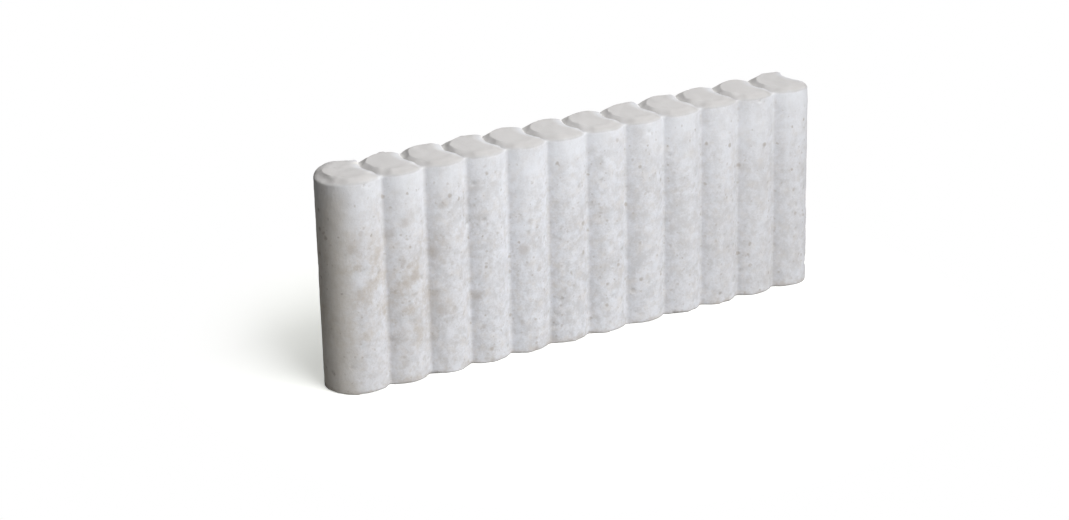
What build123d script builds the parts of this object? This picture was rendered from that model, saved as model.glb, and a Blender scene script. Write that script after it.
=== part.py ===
from build123d import *
import os

# Concrete palisade edging: one cast unit that reads as a row of overlapping round posts.
#
# The unit stands on its foot. Its posts run along +X, from the round end, which is the first post
# left whole, to the hollow end, which the round end of the next unit slides into. Every post but
# the first is shown by a false joint: a curved groove across the top that repeats the real joint
# between two units. Millimetres, +Z up, origin at the middle of the foot.

# Driving dimensions of the unit
laying_length = 500.0  # what one unit adds to a row, from joint to joint
post_count = 12
post_diameter = 60.0  # also the unit's thickness
unit_height = 200.0

# Heads of the posts and the joints between them
head_rise = 5.0  # height of a head above the shoulder that it stands on
head_ledge = 0.5  # flat left around a head, where the stamp clears the mould's wall
head_bevel = 6.5  # how far a head's round edge leans in over its rise
joint_clearance = 1.0  # room between a round post and the hollow side of its joint
joint_bevel = 4.0  # how far the hollow side of a joint leans back over the heads' rise

# How the mould eases the upright corners and the foot
valley_radius = 2.0
horn_radius = 3.0
foot_arris = 1.5

# Worked out from the sizes above
pitch = laying_length / post_count
post_radius = post_diameter / 2
hollow_radius = post_radius + joint_clearance
head_radius = post_radius - head_ledge
shoulder_height = unit_height - head_rise
ON_BASE = (Align.CENTER, Align.CENTER, Align.MIN)


def post_x(number):
    """Place of a post's axis along the row, with post 0 at the round end."""
    return number * pitch


def make_plan():
    """Outline of the unit: a chain of circles, bitten at its far end by the next unit's first post."""
    posts = Sketch() + [Pos(post_x(number), 0) * Circle(post_radius) for number in range(post_count)]
    plan = posts - Pos(post_x(post_count), 0) * Circle(hollow_radius)
    horns_last = plan.vertices().sort_by(Axis.X)
    plan = fillet(horns_last[:-2], valley_radius)
    return fillet(plan.vertices().sort_by(Axis.X)[-2:], horn_radius)


def make_trunk(plan):
    """The posts up to the shoulder, with the foot's arris taken off."""
    trunk = extrude(plan, shoulder_height)
    foot_edges = trunk.faces().sort_by(Axis.Z)[0].edges()
    return chamfer(foot_edges, foot_arris)


def make_head(number):
    """One post's bevelled head, cut hollow where the next post's joint passes."""
    head = Cone(head_radius, head_radius - head_bevel, head_rise, align=ON_BASE)
    joint = Cone(hollow_radius, hollow_radius + joint_bevel, head_rise, align=ON_BASE)
    head = Pos(post_x(number), 0, shoulder_height) * head
    return head - Pos(post_x(number + 1), 0, shoulder_height) * joint


def make_unit():
    """The whole casting, with its heads kept inside the plan and the middle of its foot at the origin."""
    plan = make_plan()
    heads = Part() + [make_head(number) for number in range(post_count)]
    unit = make_trunk(plan) + (heads & extrude(plan, unit_height))
    return Pos(-unit.bounding_box().center().X, 0, 0) * unit


os.makedirs("parts", exist_ok=True)
palisade_unit = make_unit()
export_step(palisade_unit, "parts/palisade_unit.step")
print("palisade_unit", palisade_unit.bounding_box(), "volume", palisade_unit.volume)
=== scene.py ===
# %% [markdown]
# # A concrete palisade edging unit
#
# The real object is one block of pressed concrete that looks like a row of round posts. It edges
# a flower bed or a path, and its hollow end takes the round end of the next block. The CAD part
# already has its sizes, so this lesson gives it a skin: the same shape with finer edges, with the
# grain, open pores and crumbled corners of cast concrete, and with a colour to match.

# %% Load the CAD part as the fixed frame
import math

import bmesh
import bpy
import numpy as np
from mathutils import Matrix, Vector


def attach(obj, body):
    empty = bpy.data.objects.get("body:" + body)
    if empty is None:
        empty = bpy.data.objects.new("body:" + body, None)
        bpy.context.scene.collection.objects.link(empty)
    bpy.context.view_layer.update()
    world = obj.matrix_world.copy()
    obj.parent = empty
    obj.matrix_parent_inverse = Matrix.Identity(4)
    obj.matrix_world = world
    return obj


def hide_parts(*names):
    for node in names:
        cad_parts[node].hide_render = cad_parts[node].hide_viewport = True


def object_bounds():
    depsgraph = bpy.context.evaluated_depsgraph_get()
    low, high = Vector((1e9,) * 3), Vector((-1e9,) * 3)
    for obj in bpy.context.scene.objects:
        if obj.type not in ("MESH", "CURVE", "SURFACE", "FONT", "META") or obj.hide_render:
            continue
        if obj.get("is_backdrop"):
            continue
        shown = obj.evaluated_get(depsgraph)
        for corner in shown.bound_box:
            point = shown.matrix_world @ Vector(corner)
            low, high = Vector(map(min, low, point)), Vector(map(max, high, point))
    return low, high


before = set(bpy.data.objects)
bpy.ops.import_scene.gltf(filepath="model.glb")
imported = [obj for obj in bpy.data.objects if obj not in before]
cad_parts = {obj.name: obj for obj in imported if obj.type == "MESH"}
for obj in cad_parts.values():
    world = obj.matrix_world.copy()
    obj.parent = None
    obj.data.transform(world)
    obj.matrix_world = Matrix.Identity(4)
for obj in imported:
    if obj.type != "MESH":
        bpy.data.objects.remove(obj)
cad_low, cad_high = (np.array(corner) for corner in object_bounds())
print("CAD box in metres", cad_low.round(4), cad_high.round(4))

# %% [markdown]
# ## Sizes
#
# The frame is in metres. Concrete products are drawn in millimetres, so the shape is worked out
# in millimetres and turned into metres when it goes into the mesh. The thickness, height and
# place come from the CAD box. The first sizes below repeat the solid's own. The others are the
# skin's: they follow the photograph's edges more closely than the solid's plain bevels do.

# %% Sizes of the unit in millimetres
MM = 0.001
LAYING_LENGTH = 500.0
POST_COUNT = 12
HEAD_RISE = 5.0
JOINT_CLEARANCE = 1.0
HORN_RADIUS = 3.0

HEAD_STEP = 8.2  # from a post's wall in to the edge of its flat top
JOINT_BEVEL = 5.5  # how far the hollow side of a joint leans back
JOINT_DRAW = 3.0  # how far a joint's floor is drawn in towards the next post
END_BEVEL = 1.0  # how far the top of the hollow end leans back
VALLEY_RADIUS = 1.2
FOOT_ARRIS = 0.6

box_low, box_high = cad_low / MM, cad_high / MM
radius = (box_high[1] - box_low[1]) / 2
height = box_high[2]
pitch = LAYING_LENGTH / POST_COUNT
shoulder = height - HEAD_RISE
hollow_radius = radius + JOINT_CLEARANCE
post_x = box_low[0] + radius + pitch * np.arange(POST_COUNT)
print("posts", POST_COUNT, "pitch", round(pitch, 2), "radius", round(radius, 2), "mm")

# %% [markdown]
# ## The plan
#
# Seen from above, the outline is a chain of arcs: big ones round the posts, small ones where the
# mould eases the valleys between them and the two horns of the hollow end. A Bezier curve could
# draw it, but an arc needs only a centre, a radius and two angles, and even steps along the chain
# give a mesh whose faces are all about the same size. Each post is one cell with four sides: its
# front, the joint on its right, its back, and the joint on its left.

# %% Even steps along a chain of arcs


def walk(arcs, steps):
    """Points at even steps along a chain of arcs, and the outward direction at each point.

    An arc is (centre x, centre y, radius, start angle, end angle), and its length is the radius
    times the angle it turns through. How far along the chain a point is says which arc it is on
    and what share of that arc is behind it, and the point is centre + radius * (cos, sin) of that
    angle. The chain runs anticlockwise round the solid, so outward is away from the centre on an
    arc that turns anticlockwise and towards the centre on one that turns clockwise.
    """
    centre_x, centre_y, arc_radius, start, end = np.array(arcs, float).T
    turn = end - start
    length = np.abs(turn) * arc_radius
    reached = np.cumsum(length)
    travelled = np.linspace(0, reached[-1], steps + 1)
    arc = np.minimum(np.searchsorted(reached, travelled), len(reached) - 1)
    share = 1 - (reached[arc] - travelled) / length[arc]
    angle = start[arc] + turn[arc] * share
    ray = np.stack([np.cos(angle), np.sin(angle)], axis=1)
    centre = np.stack([centre_x[arc], centre_y[arc]], axis=1)
    return centre + arc_radius[arc, None] * ray, ray * np.sign(turn[arc])[:, None]


def meeting(near, far):
    """Where a circle of radius near round one post meets one of radius far round the next post.

    Both circles pass through the point, so by Pythagoras it lies (near squared - far squared + pitch
    squared) / (2 * pitch) along the row, and the root of what that leaves of near squared out from it.
    """
    along = (near**2 - far**2 + pitch**2) / (2 * pitch)
    return along, math.sqrt(near**2 - along**2)


# %% Four sides of each kind of post
FRONT_STEPS = 26
JOINT_STEPS = 24
EASE_COLUMNS = 4

valley_out = math.sqrt((radius + VALLEY_RADIUS) ** 2 - (pitch / 2) ** 2)
valley_turn = math.atan2(valley_out, pitch / 2)
joint_turn = math.atan2(valley_out - VALLEY_RADIUS, pitch / 2)
joint_radius = math.hypot(valley_out - VALLEY_RADIUS, pitch / 2)
horn_x, horn_y = meeting(radius - HORN_RADIUS, hollow_radius + HORN_RADIUS)
horn_start = math.atan2(-horn_y, horn_x)
horn_end = math.atan2(horn_y, pitch - horn_x)
horn_middle = (horn_start + horn_end) / 2

left_valley = (-pitch / 2, -valley_out, VALLEY_RADIUS, math.pi / 2, valley_turn)
right_valley = (pitch / 2, -valley_out, VALLEY_RADIUS, math.pi - valley_turn, math.pi / 2)
front_horn = (horn_x, -horn_y, HORN_RADIUS, horn_start, horn_middle)
FRONTS = {
    "first": [(0, 0, radius, joint_turn - math.pi, -valley_turn), right_valley],
    "middle": [left_valley, (0, 0, radius, valley_turn - math.pi, -valley_turn), right_valley],
    "last": [left_valley, (0, 0, radius, valley_turn - math.pi, horn_start), front_horn],
}
ROUND_END = [(0, 0, radius, math.pi - joint_turn, math.pi + joint_turn)]
JOINT = [(pitch, 0, joint_radius, math.pi + joint_turn, math.pi - joint_turn)]
HOLLOW_END = [
    (horn_x, -horn_y, HORN_RADIUS, horn_middle, horn_end),
    (pitch, 0, hollow_radius, math.pi + horn_end, math.pi - horn_end),
    (horn_x, horn_y, HORN_RADIUS, -horn_end, -horn_middle),
]


def mirrored(side):
    """The back of a post: its front with y turned over, walked backwards to stay anticlockwise."""
    points, outward = side
    flip = np.array([1, -1])
    return points[::-1] * flip, outward[::-1] * flip


def moved(side, along):
    """A side carried along the row."""
    points, outward = side
    return points + np.array([along, 0]), outward


def faded_ends(column, steps, ease):
    """1 along a side of so many steps, falling to 0 over the last ease columns at either end."""
    return np.clip(np.minimum(column, steps - column) / ease, 0, 1)


def drawn_in(joint):
    """A joint whose floor is drawn in towards the next post, but whose ends stay in the valleys."""
    points, outward = joint
    share = faded_ends(np.arange(len(points)), JOINT_STEPS, EASE_COLUMNS)
    return points + outward * (JOINT_DRAW * share)[:, None], outward


kinds = ["first"] + ["middle"] * (POST_COUNT - 2) + ["last"]
fronts = [moved(walk(FRONTS[kind], FRONT_STEPS), x) for kind, x in zip(kinds, post_x)]
backs = [mirrored(front) for front in fronts]
round_end = moved(walk(ROUND_END, JOINT_STEPS), post_x[0])
joints = [moved(drawn_in(walk(JOINT, JOINT_STEPS)), x) for x in post_x[:-1]]
hollow_end = moved(walk(HOLLOW_END, JOINT_STEPS), post_x[-1])
front_step = np.linalg.norm(np.diff(fronts[1][0], axis=0), axis=1).mean()
print("front step", round(float(front_step), 2), "mm")

# %% [markdown]
# ## Chance that repeats
#
# Concrete is full of accidents: waves, lumps, pits and broken corners. Random numbers drawn vertex
# by vertex would look like static and would change with the mesh. Noise that is a function of place
# gives neighbouring points nearly the same value, so it makes lumps of a chosen size, and a seeded
# table of random numbers makes it come out the same on every run.

# %% Noise and pits as functions of place
TABLE = 32
RELIEF_SEED = 20
VANISHING = 0.001  # share of the smallest radius, for a cube that holds no pit


def cells_of(points, cell):
    """Which cube of space each point is in, and how far through the cube it is."""
    place = points / cell
    base = np.floor(place).astype(int)
    return base, place - base


def noise(points, cell, seed):
    """Smooth noise from -1 to 1: random numbers on a lattice, eased from corner to corner of a cell."""
    table = np.random.default_rng(RELIEF_SEED + seed).uniform(-1, 1, (TABLE, TABLE, TABLE))
    base, share = cells_of(points, cell)
    ease = share * share * (3 - 2 * share)
    total = np.zeros(len(points))
    for corner in np.ndindex(2, 2, 2):
        weight = np.where(corner, ease, 1 - ease).prod(axis=1)
        total += weight * table[tuple(((base + corner) % TABLE).T)]
    return total


def pits(points, cell, chance, sizes, seed):
    """Round pits, from 0 to 1 deep: 1 - (distance / pit radius) squared, for the nearest pit centre.

    Space is cut into cubes, and a cube may hold one pit of a random size at a random spot.
    """
    random = np.random.default_rng(RELIEF_SEED + seed)
    spots = random.random((TABLE, TABLE, TABLE, 3))
    radii = random.uniform(*sizes, (TABLE, TABLE, TABLE))
    radii[random.random(radii.shape) > chance] = np.min(sizes) * VANISHING
    base, share = cells_of(points, cell)
    depth = np.zeros(len(points))
    for step in np.ndindex(3, 3, 3):
        offset = np.array(step) - 1
        key = tuple(((base + offset) % TABLE).T)
        gap = np.linalg.norm((spots[key] + offset - share) * cell, axis=1)
        depth = np.maximum(depth, 1 - (gap / radii[key]) ** 2)
    return depth


# %% [markdown]
# ## One closed skin
#
# A sphere of points could be shrunk on to the CAD part, but then no edge of the mesh would lie
# along an edge of the casting. Here each surface is a grid with its own two directions: the walls
# are the outline carried up the height, the heads' bevels are ruled between two outlines, and the
# tops and the foot are rings that close on a middle point. Neighbouring grids end on the same
# points, so merging the doubles closes the skin.

# %% Grids to points and faces
patch_points, patch_faces = [], []


def add_grid(grid, closed=False):
    """Keeps a grid's points and its four-sided faces. A closed grid's last column joins its first."""
    rows, columns = grid.shape[:2]
    first = sum(len(points) for points in patch_points)
    number = first + np.arange(rows * columns).reshape(rows, columns)
    if closed:
        number = np.concatenate([number, number[:, :1]], axis=1)
    faces = np.stack([number[:-1, :-1], number[:-1, 1:], number[1:, 1:], number[1:, :-1]], axis=-1)
    patch_points.append(grid.reshape(-1, 3))
    patch_faces.extend(faces.reshape(-1, 4).tolist())
    return number


def add_disc(outline, middle, shares):
    """Rings that shrink from an outline to a middle point: middle + share * (outline - middle)."""
    rings = middle + np.asarray(shares)[:, None, None] * (outline - middle)[None]
    number = add_grid(rings, closed=True)
    pole = number.max() + 1
    patch_points.append(middle[None])
    last = number[-1]
    patch_faces.extend(np.stack([last[:-1], last[1:], np.full(len(last) - 1, pole)], axis=1).tolist())


def at_height(plan, z):
    """Plan points lifted to a height."""
    return np.concatenate([plan, np.full((len(plan), 1), z)], axis=1)


# %% Walls: the outline carried up from the foot to the shoulder
WALL_ROWS = 104
ROW_EASE = 0.3  # how much closer the rows lie near the foot and the shoulder

row_share = np.linspace(0, 1, WALL_ROWS + 1)
row_share -= ROW_EASE * np.sin(2 * math.pi * row_share) / (2 * math.pi)
wall_z = np.concatenate([[0.0], FOOT_ARRIS + (shoulder - FOOT_ARRIS) * row_share])
wall_inset = np.where(wall_z < FOOT_ARRIS, FOOT_ARRIS - wall_z, 0.0)


def add_wall(side):
    """A wall: the side's outline repeated at every height, drawn in by the arris at the foot."""
    points, outward = side
    plan = points[None] - outward[None] * wall_inset[:, None, None]
    lift = np.broadcast_to(wall_z[:, None, None], plan.shape[:2] + (1,))
    add_grid(np.concatenate([plan, lift], axis=2))


walls = fronts + backs + [round_end, hollow_end]
for side in walls:
    add_wall(side)
print("walls", len(walls), "of", WALL_ROWS, "rows")

# %% [markdown]
# ## Heads
#
# The stamp that presses the heads leaves a bevel round each one, and every pair is parted by a
# groove: the hollow bevel of one post against the round bevel of the next. Extruding each head and
# using the Bevel modifier would give twelve equal heads. Real ones differ, because the stiff mix
# breaks out of the stamp, so each column of points along a bevel gets a shape of its own. Its
# fullness is 1 for a plain bevel, more for a full shoulder where mortar squeezed up, and less for a
# ledge under a step. Its roundness turns the slope into a quarter of an ellipse.

# %% Outlines of a head's top and of its foot
FOOT_SHARES = (1.0, 0.7, 0.3)
HEAD_SHARES = (1.0, 0.94, 0.86, 0.75, 0.62, 0.48, 0.33, 0.18)

top_radius = radius - HEAD_STEP


def loop_of(sides):
    """The four sides of a cell as one closed loop, each corner counted once."""
    return np.concatenate([points[:-1] for points, _ in sides])


def head_outline(next_radius):
    """Edge of a head's flat top: round on its own post, and hollow round the next post's joint."""
    corner_x, corner_y = meeting(top_radius, next_radius)
    corner_turn = math.atan2(corner_y, corner_x)
    hollow_turn = math.atan2(corner_y, pitch - corner_x)
    front = walk([(0, 0, top_radius, joint_turn - math.pi, -corner_turn)], FRONT_STEPS)
    right = walk([(pitch, 0, next_radius, math.pi + hollow_turn, math.pi - hollow_turn)], JOINT_STEPS)
    left = walk([(0, 0, top_radius, math.pi - joint_turn, math.pi + joint_turn)], JOINT_STEPS)
    return loop_of([front, right, mirrored(front), left])


def foot_side(side, on_wall):
    """A cell's side on the floor: drawn in by the arris along a wall, and at both ends of a joint."""
    points, outward = side
    if on_wall:
        return points - outward * FOOT_ARRIS, outward
    drawn = points.copy()
    drawn[[0, -1], 1] -= np.sign(points[[0, -1], 1]) * FOOT_ARRIS
    return drawn, outward


# %% The shape of a bevel, column by column
# turns and reaches in degrees, cells and edges in millimetres
BEVEL_ROWS = 7
JOINT_FULLNESS = 6.0
ROUND_TURN = 10.0
ROUND_FROM = 0.25
ROUND_FADE = 0.45
ROUND_EASE = 5
RAGGED = 0.45
RAGGED_CELL = 9.0
BROKEN = 0.7
BROKEN_CELL = 14.0
BROKEN_FINE_CELL = 6.0
WORN_TURN = -125.0
WORN_REACH = 55.0
WORN_EDGE = 1.0
# post, turn in degrees (0 front, 90 towards the next post, 180 back), reach in degrees, fullness
BURRS = (
    (0, -158, 34, 4.5),
    (0, 168, 34, 3.6),
    (0, 130, 24, 5.0),
    (0, -84, 30, 0.45),
    (1, 165, 11, 9.0),
    (3, 138, 14, 2.2),
    (3, 168, 10, 2.5),
    (7, 146, 12, 5.0),
    (8, 137, 12, 1.7),
    (11, 64, 34, 6.0),
    (11, 134, 26, 4.0),
)
CORNER_BURR = (138, 18, 1.6)  # turn, reach and fullness of the burr that every head has


def turn_of(rim, index):
    """Direction from a post's axis to each point, in degrees: 0 front, 90 along the row, 180 back."""
    away = rim - np.array([post_x[index], 0])
    return np.degrees(np.arctan2(away[:, 0], -away[:, 1]))


def near_turn(rim, index, middle, reach):
    """1 in one direction from a post's axis, falling to 0 at reach degrees to either side of it."""
    off = (turn_of(rim, index) - middle + 180) % 360 - 180
    return np.clip(1 - (off / reach) ** 2, 0, 1)


def fullness_of(rim, index):
    """How full a bevel is at each column: exp of a sum.

    The sum has noise, the log of the full shoulder's fullness on the hollow side of the joint, and the
    log of a burr's fullness inside its reach.
    """
    hollow_side = faded_ends(np.arange(len(rim)) - FRONT_STEPS, JOINT_STEPS, EASE_COLUMNS)
    power = RAGGED * noise(at_height(rim, shoulder), RAGGED_CELL, seed=11)
    power += math.log(JOINT_FULLNESS) * hollow_side
    for middle, reach, fullness in [CORNER_BURR] + [burr[1:] for burr in BURRS if burr[0] == index]:
        power += math.log(fullness) * near_turn(rim, index, middle, reach)
    return np.exp(power)


def roundness_of(rim, index, fullness):
    """How round a bevel is at each column: 1 at the front, where the mould's wall slid past it.

    It is the cosine of the turn away from the front, less a floor, scaled and clipped to 0 and 1, times
    a fade at both ends of the front, and divided by the fullness where that is over 1.
    """
    facing = np.cos(np.radians(turn_of(rim, index) - ROUND_TURN))
    eased = faded_ends(np.arange(len(rim)), FRONT_STEPS, ROUND_EASE)
    return np.clip((facing - ROUND_FROM) / ROUND_FADE, 0, 1) * eased / np.maximum(fullness, 1)


def broken_edge(rim, top, index):
    """A head's top edge as it broke out of the stamp.

    Each point moves along the line from the rim to the edge: by noise of two sizes, and further in on
    the worn side, which meets the post before it.
    """
    place = at_height(top, height)
    inward = (top - rim) / np.linalg.norm(top - rim, axis=1, keepdims=True)
    move = BROKEN * (noise(place, BROKEN_CELL, seed=12) + noise(place, BROKEN_FINE_CELL, seed=13))
    if index > 0:
        move += WORN_EDGE * near_turn(top, index, WORN_TURN, WORN_REACH)
    return top + inward * move[:, None]


def bevel_of(rim, top, fullness, roundness):
    """A bevel from the rim to the top, as a blend of two profiles.

    The plain one climbs evenly and leans in by climb ** fullness. The round one is a quarter of an
    ellipse: it climbs by the sine of an angle and leans in by 1 - cosine.
    """
    step = np.linspace(0, 1, BEVEL_ROWS + 1)[:, None]
    angle = step * math.pi / 2
    climb = step + (np.sin(angle) - step) * roundness
    lean = step**fullness + (1 - np.cos(angle) - step**fullness) * roundness
    plan = rim + (top - rim) * lean[..., None]
    return np.concatenate([plan, (shoulder + HEAD_RISE * climb)[..., None]], axis=2)


# %% Heads and foot, cell by cell
joint_edge = head_outline(hollow_radius + JOINT_BEVEL)
end_edge = head_outline(hollow_radius + END_BEVEL)
top_edges = [joint_edge] * (POST_COUNT - 1) + [end_edge]
middle_offset = (pitch - hollow_radius - JOINT_BEVEL - top_radius) / 2

for index in range(POST_COUNT):
    is_first = index == 0
    is_last = index == POST_COUNT - 1
    left = round_end if is_first else tuple(values[::-1] for values in joints[index - 1])
    right = hollow_end if is_last else joints[index]
    sides = [fronts[index], right, backs[index], left]
    rim = loop_of(sides)
    top = broken_edge(rim, top_edges[index] + np.array([post_x[index], 0]), index)
    middle_x = post_x[index] + middle_offset
    fullness = fullness_of(rim, index)
    add_grid(bevel_of(rim, top, fullness, roundness_of(rim, index, fullness)), closed=True)
    add_disc(at_height(top, height), np.array([middle_x, 0, height]), HEAD_SHARES)
    on_walls = [True, is_last, True, is_first]
    sole = loop_of([foot_side(side, on_wall) for side, on_wall in zip(sides, on_walls)])
    add_disc(at_height(sole, 0.0), np.array([middle_x, 0, 0.0]), FOOT_SHARES)
print("grids", len(patch_points), "faces", len(patch_faces))

# %% Merge the grids into one closed mesh
MERGE_GAP = 2e-5  # metres
LITRES = 1000  # in a cubic metre

skin = bpy.data.meshes.new("cast_skin")
skin.from_pydata((np.concatenate(patch_points) * MM).tolist(), [], patch_faces)
weld = bmesh.new()
weld.from_mesh(skin)
bmesh.ops.remove_doubles(weld, verts=weld.verts, dist=MERGE_GAP)
bmesh.ops.recalc_face_normals(weld, faces=weld.faces)
open_edges = sum(1 for edge in weld.edges if not edge.is_manifold)
triangles = sum(len(face.verts) - 2 for face in weld.faces)
print("skin", len(weld.verts), "points", triangles, "triangles", open_edges, "open edges")
print("volume", round(weld.calc_volume() * LITRES, 3), "litres")
weld.to_mesh(skin)
weld.free()

# %% [markdown]
# ## Edges
#
# Pressed concrete is never smooth. The mould leaves slow waves, the aggregate a fine roughness,
# trapped air leaves pits, and the edges crumble when the unit is pushed out. The edges could be
# picked by hand, or by the angle between two faces. Here they are found by how far each point stands
# out from the average of its neighbours, which also says how sharp the edge is, and the same number
# turned round finds the creases.

# %% Where the edges are
points = np.empty(len(skin.vertices) * 3, np.float32)
skin.vertices.foreach_get("co", points)
points = points.reshape(-1, 3).astype(float) / MM
normals = np.empty(len(points) * 3, np.float32)
skin.vertex_normals.foreach_get("vector", normals)
normals = normals.reshape(-1, 3).astype(float)
links = np.empty(len(skin.edges) * 2, np.int32)
skin.edges.foreach_get("vertices", links)
one, other = links.reshape(-1, 2).T
valence = np.bincount(links, minlength=len(points))


def neighbour_mean(values):
    """Average of a value over the points that share an edge with each point."""
    columns = values.reshape(len(values), -1).T
    sums = [
        np.bincount(one, column[other], len(column)) + np.bincount(other, column[one], len(column))
        for column in columns
    ]
    return (np.stack(sums, axis=1) / valence[:, None]).reshape(values.shape)


EDGE_REACH = 2
EDGE_SPREAD = 0.75
SHARP = 0.30
ARRIS_FLOOR = 0.25
CREASE_FLOOR = 0.10

standing_out = ((points - neighbour_mean(points)) * normals).sum(axis=1)
arris = np.clip(standing_out / SHARP - ARRIS_FLOOR, 0, 1)
crease = np.clip(-standing_out / SHARP - CREASE_FLOOR, 0, 1)
for _ in range(EDGE_REACH):
    arris = np.maximum(arris, EDGE_SPREAD * neighbour_mean(arris) + (1 - EDGE_SPREAD) * arris)
    crease = np.maximum(crease, neighbour_mean(crease))
print("edge points", int((arris > 0).sum()), "crease points", int((crease > 0).sum()))

# %% [markdown]
# ## Maps of wear and stains, and of painted light and shade
#
# Some of the colour follows the making of the unit and the light, not chance: the heads are rubbed
# brown along their edges, which is partly painted shade in their grooves and on their front bevels,
# painted light makes them paler along the back on the left, they are paler on the hollow side of the
# joints, and the largest brown stains sit on the nearest posts. They could be painted on an image, but
# that needs a UV map and a file. Here each point of the mesh gets a number for each of them, worked
# out from its place on its own post, and the material reads these numbers by name.

# %% Whose head each point is on, and where round it
BEVEL_FADE = 0.8  # millimetres

head_share = np.clip((points[:, 2] - shoulder) / BEVEL_FADE + 1, 0, 1)
bevel = head_share * np.clip((height - points[:, 2]) / BEVEL_FADE, 0, 1)
axes = np.append(post_x, post_x[-1] + pitch)
away = points[:, None, :2] - np.stack([axes, np.zeros(len(axes))], axis=1)
reach = np.linalg.norm(away, axis=2)
# A point belongs to the last post whose joint goes round it, or else to the nearest post.
inside = reach[:, :POST_COUNT] < joint_radius - JOINT_DRAW + BEVEL_FADE / 2
last_inside = POST_COUNT - 1 - np.argmax(inside[:, ::-1], axis=1)
own = np.where(inside.any(axis=1), last_inside, np.argmin(reach[:, :POST_COUNT], axis=1))
row = np.arange(len(points))
turn = np.degrees(np.arctan2(away[row, own, 0], -away[row, own, 1]))
print("points on the heads", int((head_share > 0).sum()))

# %% Where the heads are rubbed and shaded, where they are painted lighter, and where their joints stayed smooth
JOINT_REACH = 6.5
JOINT_FADE = 5.0
# how much a head's edge takes on, by the distance from its post's axis in millimetres
RING_REACHES = (16.0, 21.5, 24.0, 26.5, 28.2, 29.4, 30.2)
RING_SHARES = (0.0, 0.12, 0.42, 0.70, 0.92, 0.88, 0.45)
# how much of it is rubbed brown with painted shade, and how much is painted light, by the turn in degrees
RUBBED_AND_SHADED_TURNS = (-180, -130, -110, -90, -72, -60, -50, -30, 0, 28, 45, 180)
RUBBED_AND_SHADED_SHARES = (0.10, 0.00, 0.08, 0.36, 0.75, 0.68, 0.45, 0.62, 0.78, 0.74, 0.45, 0.10)
FIRST_POST_SHARE = 0.8
PAINTED_LIGHT_TURNS = (-180, -118, -108, -98, -84)
PAINTED_LIGHT_SHARES = (1.00, 1.00, 0.75, 0.40, 0.00)

hollow = head_share * np.clip((hollow_radius + JOINT_REACH - reach[row, own + 1]) / JOINT_FADE, 0, 1)
ring = np.interp(reach[row, own], RING_REACHES, RING_SHARES)
# rubbed brown edges, partly painted shade in the grooves and on the front bevels
rubbed_and_shaded = head_share * ring * np.interp(turn, RUBBED_AND_SHADED_TURNS, RUBBED_AND_SHADED_SHARES)
rubbed_and_shaded[own == 0] *= FIRST_POST_SHARE
# painted light: the back-left edges of the heads after the first are made paler, as if lit from behind
painted_back_light = (own > 0) * head_share * ring * np.interp(turn, PAINTED_LIGHT_TURNS, PAINTED_LIGHT_SHARES)
for name, values in {"rubbed_and_shaded": rubbed_and_shaded, "painted_back_light": painted_back_light, "smooth joint": hollow}.items():
    print(name, "points", int((values > 0).sum()))

# %% Where the walls are stained
# A stain is 1 at its middle on a post's wall, and falls evenly to 0 at its reach.
# post, turn in degrees, height and reach in millimetres
STAINS = (
    (0, -74, 126, 6),
    (0, -26, 136, 7),
    (0, -10, 150, 4),
    (1, -34, 143, 8),
    (1, -8, 151, 7),
    (1, -13, 115, 5),
    (1, 7, 100, 8),
    (2, -14, 159, 7),
    (2, -33, 116, 9),
    (2, 1, 104, 4),
    (2, -23, 62, 9),
    (3, -33, 66, 8),
    (3, -21, 36, 4),
    (4, -5, 126, 5),
    (4, -17, 100, 9),
    (4, 11, 79, 4),
    (4, -23, 30, 4),
)

stain = np.zeros(len(points))
for index, stain_turn, lift, spread in STAINS:
    angle = math.radians(stain_turn)
    middle = np.array([post_x[index] + radius * math.sin(angle), -radius * math.cos(angle), lift])
    stain = np.maximum(stain, 1 - np.linalg.norm(points - middle, axis=1) / spread)
print("stained points", int((stain > 0).sum()))

# %% [markdown]
# ## Wear and relief
#
# Now the skin gets its accidents. First the edges wear: a point on an edge sinks towards the average
# of its neighbours, and further where noise says that the mix crumbled. Then every point moves along
# its normal by the sum of the waves, lumps and grit, less the pits and chips. The Smooth and Displace
# modifiers do much the same, but they can't be steered by so many maps at once.

# %% Wear: the edges sink towards their neighbours
WEAR_ROUNDS = 3
WEAR_CELL = 7.0
WEAR_MIDDLE = 0.5
WEAR_SPREAD = 0.9
ARRIS_SOFTENING = 0.55
HEAD_SOFTENING = 0.5

crumble = np.clip(WEAR_MIDDLE + WEAR_SPREAD * noise(points, WEAR_CELL, seed=1), 0, 1)
edge_zone = np.maximum(bevel, neighbour_mean(bevel))
worn = np.maximum(arris * crumble * ARRIS_SOFTENING, edge_zone * HEAD_SOFTENING)
for _ in range(WEAR_ROUNDS):
    points += worn[:, None] * (neighbour_mean(points) - points)
print("worn points", int((worn > 0).sum()))

# %% Waves, lumps, grit, pits, chips and crumbs
# depths and rises in millimetres, and the size of each one's noise cell
WAVE = 0.30
WAVE_CELL = 38.0
LUMP = 0.16
HEAD_LUMP = 0.22
LUMP_CELL = 8.0
GRIT = 0.10
GRIT_CELL = 3.1
PIT_DEPTH = 0.9
PIT_CELL = 13.0
PIT_CHANCE = 0.55
PIT_RADII = (1.4, 3.0)
CHIP_DEPTH = 1.6
CHIP_CELL = 11.0
CHIP_GAIN = 2.4
CRUMB_RISE = 0.5
CRUMB_CELL = 4.5
CRUMB_GAIN = 2.5
CRUMB_BAND = 1.0
ALLOWANCE = 0.35  # drawn back all over, so that the lumps stay inside the CAD box

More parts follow.
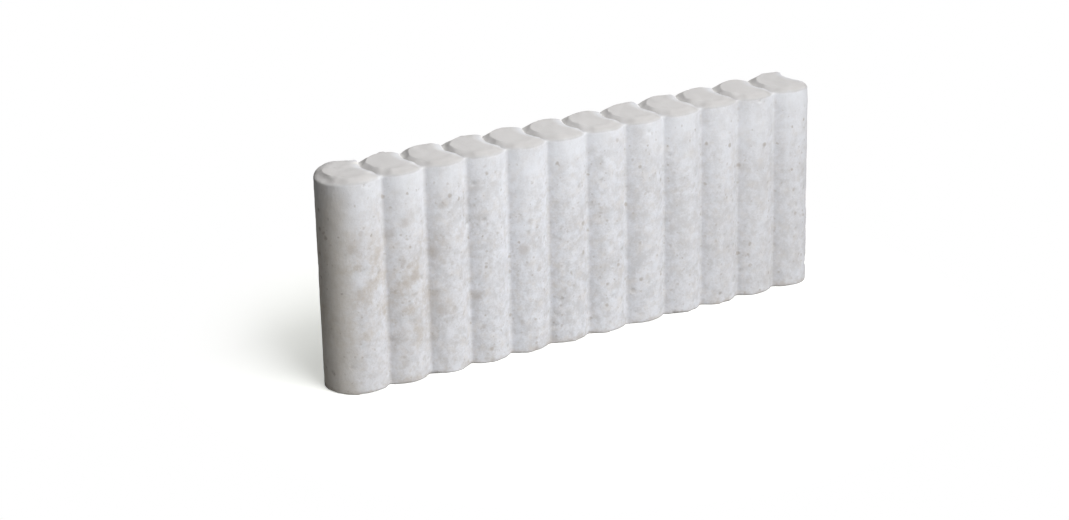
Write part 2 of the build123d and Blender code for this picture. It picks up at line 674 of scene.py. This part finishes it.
waves = WAVE * noise(points, WAVE_CELL, seed=2)
lumps = (LUMP + HEAD_LUMP * head_share) * noise(points, LUMP_CELL, seed=3)
grit = GRIT * noise(points, GRIT_CELL, seed=4)
pit = pits(points, PIT_CELL, PIT_CHANCE, PIT_RADII, seed=5) * (1 - head_share)
chips = np.clip(CHIP_GAIN * noise(points, CHIP_CELL, seed=6) - 1, 0, 1) * arris
crumbs = np.clip(CRUMB_GAIN * noise(points, CRUMB_CELL, seed=7) - 1, 0, 1) * arris
crumbs *= points[:, 2] > shoulder - CRUMB_BAND
relief = waves + lumps + grit - PIT_DEPTH * pit - CHIP_DEPTH * chips + CRUMB_RISE * crumbs - ALLOWANCE
relief[points[:, 2] < FOOT_ARRIS / 2] = 0
points = np.clip(points + normals * relief[:, None], box_low, box_high)
print("relief from", round(float(relief.min()), 2), "to", round(float(relief.max()), 2), "mm")

# %% Put the relief into the mesh
skin.vertices.foreach_set("co", (points * MM).astype(np.float32).ravel())
maps = {
    "pit": pit,
    "crease": crease,
    "rubbed_and_shaded": rubbed_and_shaded,
    "hollow": hollow,
    "painted_back_light": painted_back_light,
    "stain": stain,
}
for name, values in maps.items():
    layer = skin.attributes.new(name, "FLOAT", "POINT")
    layer.data.foreach_set("value", values.astype(np.float32))
skin.shade_smooth()
skin.update()

scene = bpy.context.scene
unit = bpy.data.objects.new("cast_palisade_unit", skin)
scene.collection.objects.link(unit)
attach(unit, "root")
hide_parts("palisade_unit")
print(unit.name, len(skin.vertices), "points", len(skin.polygons), "faces", list(maps))

# %% [markdown]
# ## Concrete, as shader maths
#
# A shader is arithmetic on sockets. Its nodes could be placed by hand in the Shader Editor, or by a
# call each, but long chains of Math nodes are hard to read either way. A small class gives a socket
# the Python operators, so a mask reads as a formula, and one method adds every other kind of node.

# %% Sockets that take part in Python expressions


class Wire:
    """A shader value: Python arithmetic on it adds Math nodes to its material."""

    def __init__(self, finish, socket):
        self.finish = finish
        self.socket = socket

    def math(self, operation, left, right):
        """A Math node with two inputs, each of them a wire or a number."""
        return self.finish.node("ShaderNodeMath", {"operation": operation}, {0: left, 1: right})

    def __add__(self, other):
        return self.math("ADD", self, other)

    def __radd__(self, other):
        return self.math("ADD", other, self)

    def __sub__(self, other):
        return self.math("SUBTRACT", self, other)

    def __rsub__(self, other):
        return self.math("SUBTRACT", other, self)

    def __mul__(self, other):
        return self.math("MULTIPLY", self, other)

    def __rmul__(self, other):
        return self.math("MULTIPLY", other, self)


class Finish:
    """A material under construction."""

    def __init__(self, name):
        self.material = bpy.data.materials.new(name)
        self.material.use_nodes = True
        self.tree = self.material.node_tree
        self.tree.nodes.clear()

    def node(self, kind, settings=None, sockets=None, output=0):
        """Adds a node: its settings first, then its sockets' values or links. Returns one output."""
        made = self.tree.nodes.new(kind)
        for name, value in (settings or {}).items():
            setattr(made, name, value)
        for name, value in (sockets or {}).items():
            if isinstance(value, Wire):
                self.tree.links.new(value.socket, made.inputs[name])
            else:
                made.inputs[name].default_value = value
        return Wire(self, made.outputs[output]) if made.outputs else None

    def noise(self, place, scale, detail=2.0, roughness=0.5):
        """Noise from about 0.2 to 0.8, with scale patches to the metre."""
        sockets = {"Vector": place, "Scale": scale, "Detail": detail, "Roughness": roughness}
        return self.node("ShaderNodeTexNoise", {}, sockets)

    def between(self, value, low, high):
        """0 below low, 1 above high, an eased ramp between them. It falls where low is the larger."""
        sockets = {"Value": value, "From Min": low, "From Max": high}
        return self.node("ShaderNodeMapRange", {"interpolation_type": "SMOOTHSTEP"}, sockets)

    def blend(self, share, first, second):
        """A colour that goes from first to second as share goes from 0 to 1."""
        sockets = {0: share, 6: first, 7: second}
        return self.node("ShaderNodeMix", {"data_type": "RGBA"}, sockets, output=2)


def colour(red, green, blue):
    """A colour socket's four numbers."""
    return (red, green, blue, 1.0)


# %% [markdown]
# ## The concrete's colour
#
# The paste is a pale, slightly cool grey, and no two square centimetres of it are the same. A
# picture of concrete wrapped round the posts would show its seams, but noise in Object coordinates
# runs through the whole block, so it never repeats and never stretches. The colour is built up in
# layers, as a painter would: first the paste with its soft mottling, then what happened to it, and
# some painted light and shade. Each cell below lays one more colour over the tone so far, by a share
# from 0 to 1 that is worked out from noise, from the place in the block, or from the maps that the
# skin carries. Heights and places along the row are in metres here, as Object coordinates are.

# %% What the colour reads
concrete = Finish("pressed_concrete")
place = concrete.node("ShaderNodeTexCoord", output="Object")
along = concrete.node("ShaderNodeSeparateXYZ", {}, {0: place}, output="X")
up = concrete.node("ShaderNodeSeparateXYZ", {}, {0: place}, output="Z")
pit_map, crease_shade_map, rubbed_and_shaded_map, hollow_map, painted_back_light_map, stain_map = (
    concrete.node("ShaderNodeAttribute", {"attribute_name": name}, output="Fac") for name in maps
)
print("maps", len(maps))

# %% The paste: mottling at four sizes, from patches of 40 mm down to sand of 2 mm
PALE = colour(0.706, 0.718, 0.760)
SHADE = colour(0.552, 0.548, 0.562)
CLOUD_WEIGHT = 0.44
MOTTLE_WEIGHT = 0.80
FLECK_WEIGHT = 0.86
SAND_WEIGHT = 0.60
SHADE_TO_PALE = (1.03, 1.66)  # weighted sums at which the paste is all shade and all pale

clouds = concrete.noise(place, scale=24.0, detail=2.0, roughness=0.55)
mottle = concrete.noise(place, scale=85.0, detail=3.0, roughness=0.6)
flecks = concrete.noise(place, scale=160.0, detail=2.0, roughness=0.6)
sand = concrete.noise(place, scale=480.0, detail=2.0, roughness=0.65)
grey = clouds * CLOUD_WEIGHT + mottle * MOTTLE_WEIGHT + flecks * FLECK_WEIGHT + sand * SAND_WEIGHT
tone = concrete.blend(concrete.between(grey, *SHADE_TO_PALE), SHADE, PALE)
print("paste", len(concrete.tree.nodes), "nodes so far")

# %% Warm and cool drifts
# Cement and sand part a little as the mix is pressed, so the grey drifts between warm and cool. The
# posts towards the hollow end are darkened a little: painted shade, as if the light fell off towards
# that end.
WARM_PASTE = colour(0.655, 0.610, 0.560)
COOL_PASTE = colour(0.610, 0.645, 0.695)
HUE_SHARE = 0.26
FAR_SHADE_SHARE = 0.26
FAR_POSTS = (0.0, 0.20)

hue = concrete.noise(place, scale=100.0, detail=3.0, roughness=0.6)
tone = concrete.blend(concrete.between(hue, low=0.50, high=0.70) * HUE_SHARE, tone, WARM_PASTE)
tone = concrete.blend(concrete.between(hue, low=0.50, high=0.30) * HUE_SHARE, tone, COOL_PASTE)
# painted shade: the posts towards the hollow end are darker
tone = concrete.blend(concrete.between(along, *FAR_POSTS) * FAR_SHADE_SHARE, tone, SHADE)
print("drifts", len(concrete.tree.nodes), "nodes so far")

# %% Tan fines
# Fines left a tan mottling all over. It is strong at half height on the near posts, which also have a
# faint tan veil that darkens them: partly tan fines, partly painted shade, as if the light fell off
# towards that end.
TAN = colour(0.475, 0.430, 0.385)
NEAR_POSTS = (-0.100, -0.180)
FADE_ABOVE_FOOT = (0.010, 0.065)
FADE_BELOW_HEAD = (0.180, 0.120)
PATCH_SHARE = 0.11
NEAR_PATCH_SHARE = 0.58
NEAR_TAN_AND_SHADE_SHARE = 0.10
FINES_SHARE = 0.26

patches = concrete.noise(place, scale=45.0, detail=5.0, roughness=0.72)
fines = concrete.noise(place, scale=150.0, detail=4.0, roughness=0.7)
near_posts = concrete.between(along, *NEAR_POSTS)
half_way = concrete.between(up, *FADE_ABOVE_FOOT) * concrete.between(up, *FADE_BELOW_HEAD)
patch_share = PATCH_SHARE + near_posts * half_way * NEAR_PATCH_SHARE
tan_share = concrete.between(patches, low=0.45, high=0.70) * patch_share
# the veil over the near posts is partly painted shade
tone = concrete.blend(tan_share + near_posts * NEAR_TAN_AND_SHADE_SHARE, tone, TAN)
tone = concrete.blend(concrete.between(fines, low=0.52, high=0.74) * FINES_SHARE, tone, TAN)
print("fines", len(concrete.tree.nodes), "nodes so far")

# %% Brown stains and the warm round end
# The stains have the places of the stain map, and noise makes their edges ragged. The outermost part
# of the round end is a little warmer than the rest.
BROWN = colour(0.395, 0.355, 0.325)
WARM_END = colour(0.690, 0.645, 0.575)
STAIN_FLECKS = 1.2
STAIN_FINES = 0.8
STAIN_RAMP = (1.15, 1.75)
STAIN_RIM = (0.0, 0.25)
STAIN_SHARE = 0.42
WARM_REACH = (-0.228, -0.250)
WARM_SHARE = 0.6

ragged_stain = concrete.between(stain_map + flecks * STAIN_FLECKS + fines * STAIN_FINES, *STAIN_RAMP)
stain_share = ragged_stain * concrete.between(stain_map, *STAIN_RIM) * STAIN_SHARE
tone = concrete.blend(stain_share, tone, BROWN)
tone = concrete.blend(concrete.between(along, *WARM_REACH) * WARM_SHARE, tone, WARM_END)
print("stains", len(concrete.tree.nodes), "nodes so far")

# %% Smooth tops of the posts, partly painted light
# The mould's wall slid up over the top of the posts and left them smooth and pale, in upright streaks:
# noise whose places are squeezed along Z is drawn out along Z. The paleness is partly painted light:
# the even band just under the heads makes the upper walls paler, as if they caught more light from
# above.
SMOOTH_SKIN_AND_LIGHT = colour(0.715, 0.730, 0.765)
STREAK_SQUEEZE = (1.0, 1.0, 0.06)
SLID_HEIGHTS = (0.115, 0.190)
LIT_TOP_HEIGHTS = (0.160, 0.195)
SLID_SHARE = 0.40
LIT_TOP_SHARE = 0.30
STREAK_SHARE = 0.5

slid = concrete.between(up, *SLID_HEIGHTS) * concrete.between(clouds, low=0.30, high=0.60)
drawn_up = concrete.node("ShaderNodeMapping", {}, {"Vector": place, "Scale": STREAK_SQUEEZE})
streaks = concrete.noise(drawn_up, scale=170.0, detail=2.0, roughness=0.5)
# the even band by height alone is painted light on the upper walls
tone = concrete.blend(slid * SLID_SHARE + concrete.between(up, *LIT_TOP_HEIGHTS) * LIT_TOP_SHARE, tone, SMOOTH_SKIN_AND_LIGHT)
streak_share = concrete.between(streaks, low=0.55, high=0.78) * slid * STREAK_SHARE
tone = concrete.blend(streak_share, tone, SMOOTH_SKIN_AND_LIGHT)
print("smooth tops", len(concrete.tree.nodes), "nodes so far")

# %% Heads, joints and the foot's edge
# The stamp left the heads warmer, and the mix broke away brown along their edges and joints. That brown
# is partly painted shade: it is strongest in the grooves between the heads, which face away from the
# light, and on the front bevels, which would catch it. The creases get a little painted shade of the
# same brown. The back edges on the left are painted light: paler, as if lit from behind. The edge of
# the foot is tan.
HEAD_TONE = colour(0.610, 0.596, 0.588)
RUBBED_BROWN_AND_SHADE = colour(0.408, 0.399, 0.394)
PAINTED_LIGHT_RIM = colour(0.800, 0.790, 0.775)
HEAD_HEIGHTS = (0.1930, 0.1972)
HEAD_RAGGED = 0.005
HEAD_TONE_SHARE = 0.85
HOLLOW_RELIEF = 0.65
RUBBED_AND_SHADED_BASE = 0.60
RUBBED_AND_SHADED_MOTTLE = 0.80
CREASE_SHADE_SHARE = 0.18
FOOT_HEIGHTS = (0.0165, 0.0085)
FOOT_MOTTLE = 0.012
FOOT_FLECKS = 0.008
FOOT_TAN_SHARE = 0.5

on_head = concrete.between(up + mottle * HEAD_RAGGED - HEAD_RAGGED / 2, *HEAD_HEIGHTS)
tone = concrete.blend(on_head * (HEAD_TONE_SHARE - hollow_map * HOLLOW_RELIEF), tone, HEAD_TONE)
# brown edges and joints, partly painted shade
tone = concrete.blend(rubbed_and_shaded_map * (RUBBED_AND_SHADED_BASE + mottle * RUBBED_AND_SHADED_MOTTLE), tone, RUBBED_BROWN_AND_SHADE)
# painted shade in the creases and valleys
tone = concrete.blend(crease_shade_map * CREASE_SHADE_SHARE, tone, RUBBED_BROWN_AND_SHADE)
# painted light on the back-left edges of the heads
tone = concrete.blend(painted_back_light_map, tone, PAINTED_LIGHT_RIM)
foot_rim = concrete.between(up + mottle * FOOT_MOTTLE + flecks * FOOT_FLECKS, *FOOT_HEIGHTS)
tone = concrete.blend(foot_rim * FOOT_TAN_SHARE, tone, TAN)
print("heads and foot", len(concrete.tree.nodes), "nodes so far")

# %% Spots and pores
# Soft brown spots where clay or rust sat in the sand, large and few or small and many. Each cell of
# space has one, of a size of its own, and only those that the surface cuts through show. The open
# pores get painted shade: they are darker than the paste, the deeper the darker.
# The sizes are: cells to the metre, reach as a share of a cell, share of the colour
SPOT_SIZES = ((80.0, 0.25, 0.68), (165.0, 0.31, 0.42))
SPOT_CORE = 0.35
SPOT_CHANCES = (0.25, 0.50)
SPOT_HEIGHTS = (0.197, 0.175)
WOBBLE_SCALE = 260.0
STRAY = (0.003,) * 3
PORE_SHADE = colour(0.365, 0.345, 0.320)
PORE_SHADE_SHARE = 0.40

wobble = concrete.node("ShaderNodeTexNoise", {}, {"Vector": place, "Scale": WOBBLE_SCALE}, output="Color")
stray = {0: wobble, 1: STRAY, 2: place}
strayed = concrete.node("ShaderNodeVectorMath", {"operation": "MULTIPLY_ADD"}, stray)
below_rim = concrete.between(up, *SPOT_HEIGHTS)
for cells, spot_reach, spot_share in SPOT_SIZES:
    cell = {"Vector": strayed, "Scale": cells}
    gap = concrete.node("ShaderNodeTexVoronoi", {}, cell, output="Distance")
    luck = concrete.node("ShaderNodeTexVoronoi", {}, cell, output="Color")
    chance = concrete.node("ShaderNodeSeparateColor", {}, {0: luck}, output="Red")
    spots = concrete.between(gap, chance * spot_reach, chance * (SPOT_CORE * spot_reach))
    spotted = concrete.between(chance, *SPOT_CHANCES) * below_rim
    tone = concrete.blend(spots * spotted * spot_share, tone, BROWN)
# painted shade in the open pores
tone = concrete.blend(concrete.between(pit_map, low=0.05, high=0.95) * PORE_SHADE_SHARE, tone, PORE_SHADE)
print("spots and pores", len(concrete.tree.nodes), "nodes so far")

# %% Grain and gloss
# Concrete is matt. Its finest grain is too small for the mesh, so a Bump node tilts the light instead.
SAND_HEIGHT = 0.7
GRAIN_HEIGHT = 0.4
BUMP_STRENGTH = 0.5
BUMP_DEPTH = 0.0005
MATT = 0.92
GLOSS = 0.25

grain = concrete.noise(place, scale=900.0, detail=2.0, roughness=0.6)
surface = sand * SAND_HEIGHT + grain * GRAIN_HEIGHT
bumps = {"Strength": BUMP_STRENGTH, "Distance": BUMP_DEPTH, "Height": surface}
bump = concrete.node("ShaderNodeBump", {}, bumps)
looks = {"Base Color": tone, "Roughness": MATT, "Specular IOR Level": GLOSS, "Normal": bump}
shader = concrete.node("ShaderNodeBsdfPrincipled", {}, looks)
concrete.node("ShaderNodeOutputMaterial", {}, {"Surface": shader})
skin.materials.append(concrete.material)
print("concrete", len(concrete.tree.nodes), "nodes")

# %% [markdown]
# ## Floor
#
# The unit stands on white paper. Paper that is white enough to vanish in the picture would throw
# too much light back up the posts, so the paper is a pale grey to the light. Only rays from the
# camera, or by way of something glossy or clear, find it white with a glow. Near the unit the glow is
# faint and the shadow shows through it. Farther off the paper is plain white.

# %% Floor
FLOOR_HALF = 6.0
FLOOR_GREY = colour(0.36, 0.36, 0.355)
PAPER = colour(0.96, 0.97, 0.95)
PAPER_GLOW = 0.472
GLOW_TINT = colour(0.98, 1.00, 0.96)
NEAR_REACH = (0.378, 0.395, 1.0)
NEAR_SHARE = 0.60

floor_mesh = bpy.data.meshes.new("floor")
floor_ring = np.array([(-1, -1, 0), (1, -1, 0), (1, 1, 0), (-1, 1, 0)]) * FLOOR_HALF
floor_mesh.from_pydata(floor_ring.tolist(), [], [(0, 1, 2, 3)])
floor = bpy.data.objects.new("floor", floor_mesh)
scene.collection.objects.link(floor)
floor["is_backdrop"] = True
print("floor", 2 * FLOOR_HALF, "m square")


def make_floor_finish():
    """Pale paper: grey to the light, and white to the camera beyond an oval round the unit."""
    finish = Finish("pale_floor")
    camera_ray, glossy_ray, clear_ray = (
        finish.node("ShaderNodeLightPath", output=name)
        for name in ("Is Camera Ray", "Is Glossy Ray", "Is Transmission Ray")
    )
    place = finish.node("ShaderNodeTexCoord", output="Object")
    oval = finish.node("ShaderNodeVectorMath", {"operation": "DIVIDE"}, {0: place, 1: NEAR_REACH})
    away = finish.node("ShaderNodeVectorMath", {"operation": "LENGTH"}, {0: oval}, output="Value")
    lit = finish.node("ShaderNodeBsdfDiffuse", {}, {"Color": FLOOR_GREY})
    paper = finish.node("ShaderNodeBsdfDiffuse", {}, {"Color": PAPER})
    glow = finish.node("ShaderNodeEmission", {}, {"Color": GLOW_TINT, "Strength": PAPER_GLOW})
    white = finish.node("ShaderNodeEmission", {}, {"Strength": 1.0})
    shaded = finish.node("ShaderNodeAddShader", {}, {0: paper, 1: glow})
    far_share = finish.between(away, NEAR_SHARE, 1.0)
    shown = finish.node("ShaderNodeMixShader", {}, {0: far_share, 1: shaded, 2: white})
    seen = camera_ray + glossy_ray + clear_ray
    both = finish.node("ShaderNodeMixShader", {}, {0: seen, 1: lit, 2: shown})
    finish.node("ShaderNodeOutputMaterial", {}, {"Surface": both})
    return finish.material


floor_mesh.materials.append(make_floor_finish())

# %% [markdown]
# ## Light
#
# The light is a photographer's: a soft box close in front and above, which is why the tops of the
# posts are brighter than their feet, and a broad light from the front right, which shapes the posts
# and throws the shadow back. A weak light low behind the hollow end keeps the back from going black.
# Each lamp is placed by a turn round the unit and a height, as one would carry it round a table.

# %% Lamps
LAMP_DISTANCE = 0.9
BOX_SIZE = 0.9
BOX_WATTS = 6.4
FRONT_STRENGTH = 2.21
FRONT_SPREAD = math.radians(50)
BACK_STRENGTH = 1.2
BACK_SPREAD = math.radians(20)
FILL_STRENGTH = 0.05
FILL_COLOUR = colour(1.0, 0.92, 0.80)

unit_middle = Vector((0, 0, height * MM / 2))
scene.view_settings.view_transform = "Standard"


def add_lamp(kind, name, turn, lift, power):
    """A lamp that faces the unit, turn degrees round from the front and lift degrees above the floor."""
    data = bpy.data.lights.new(name, kind)
    data.energy = power
    lamp = bpy.data.objects.new(name, data)
    turn = math.radians(turn)
    lift = math.radians(lift)
    way = Vector((math.sin(turn) * math.cos(lift), -math.cos(turn) * math.cos(lift), math.sin(lift)))
    lamp.location = unit_middle + way * LAMP_DISTANCE
    lamp.rotation_euler = way.to_track_quat("Z", "Y").to_euler()
    scene.collection.objects.link(lamp)
    print(name, "at", [round(value, 2) for value in lamp.location])
    return data


add_lamp("AREA", "soft_box", turn=5, lift=56, power=BOX_WATTS).size = BOX_SIZE
add_lamp("SUN", "front_light", turn=20, lift=35, power=FRONT_STRENGTH).angle = FRONT_SPREAD
add_lamp("SUN", "back_light", turn=140, lift=2, power=BACK_STRENGTH).angle = BACK_SPREAD

world = bpy.data.worlds.new("studio")
world.use_nodes = True
fill = world.node_tree.nodes["Background"]
fill.inputs["Color"].default_value = FILL_COLOUR
fill.inputs["Strength"].default_value = FILL_STRENGTH
scene.world = world

# %% [markdown]
# ## Camera
#
# A camera could be nudged by eye until the picture looks right. Here its place was worked out instead:
# the posts' feet, valleys and rims have known places on the unit, and a pinhole camera was fitted to
# where the photograph shows them. That gives a turn round the unit, a height, a slight roll, a
# distance, and a focal length in pixels. The camera's three axes go straight into its matrix.

# %% Camera
IMAGE_WIDTH = 1069
SENSOR_WIDTH = 36.0
FOCAL_PIXELS = 2581.1
VIEW_TURN = math.radians(-30.928)
VIEW_HEIGHT = math.radians(20.673)
VIEW_ROLL = math.radians(-1.402)
VIEW_DISTANCE = 2.3527
LOOK_ALONG = 0.18545  # from the first post's axis, in metres
LOOK_UP = 0.075536

look_at = Vector((post_x[0] * MM + LOOK_ALONG, 0, LOOK_UP))
back = Vector((
    math.sin(VIEW_TURN) * math.cos(VIEW_HEIGHT),
    -math.cos(VIEW_TURN) * math.cos(VIEW_HEIGHT),
    math.sin(VIEW_HEIGHT),
))
level = Vector((math.cos(VIEW_TURN), math.sin(VIEW_TURN), 0))
upright = back.cross(level)
camera_right = math.cos(VIEW_ROLL) * level + math.sin(VIEW_ROLL) * upright
camera_up = math.cos(VIEW_ROLL) * upright - math.sin(VIEW_ROLL) * level
turned = Matrix((camera_right, camera_up, back)).transposed().to_4x4()
camera_data = bpy.data.cameras.new("camera")
camera_data.sensor_width = SENSOR_WIDTH
camera_data.lens = SENSOR_WIDTH * FOCAL_PIXELS / IMAGE_WIDTH
camera = bpy.data.objects.new("camera", camera_data)
camera.matrix_world = Matrix.Translation(look_at + back * VIEW_DISTANCE) @ turned
scene.collection.objects.link(camera)
scene.camera = camera
print("lens", round(camera_data.lens, 1), "mm")
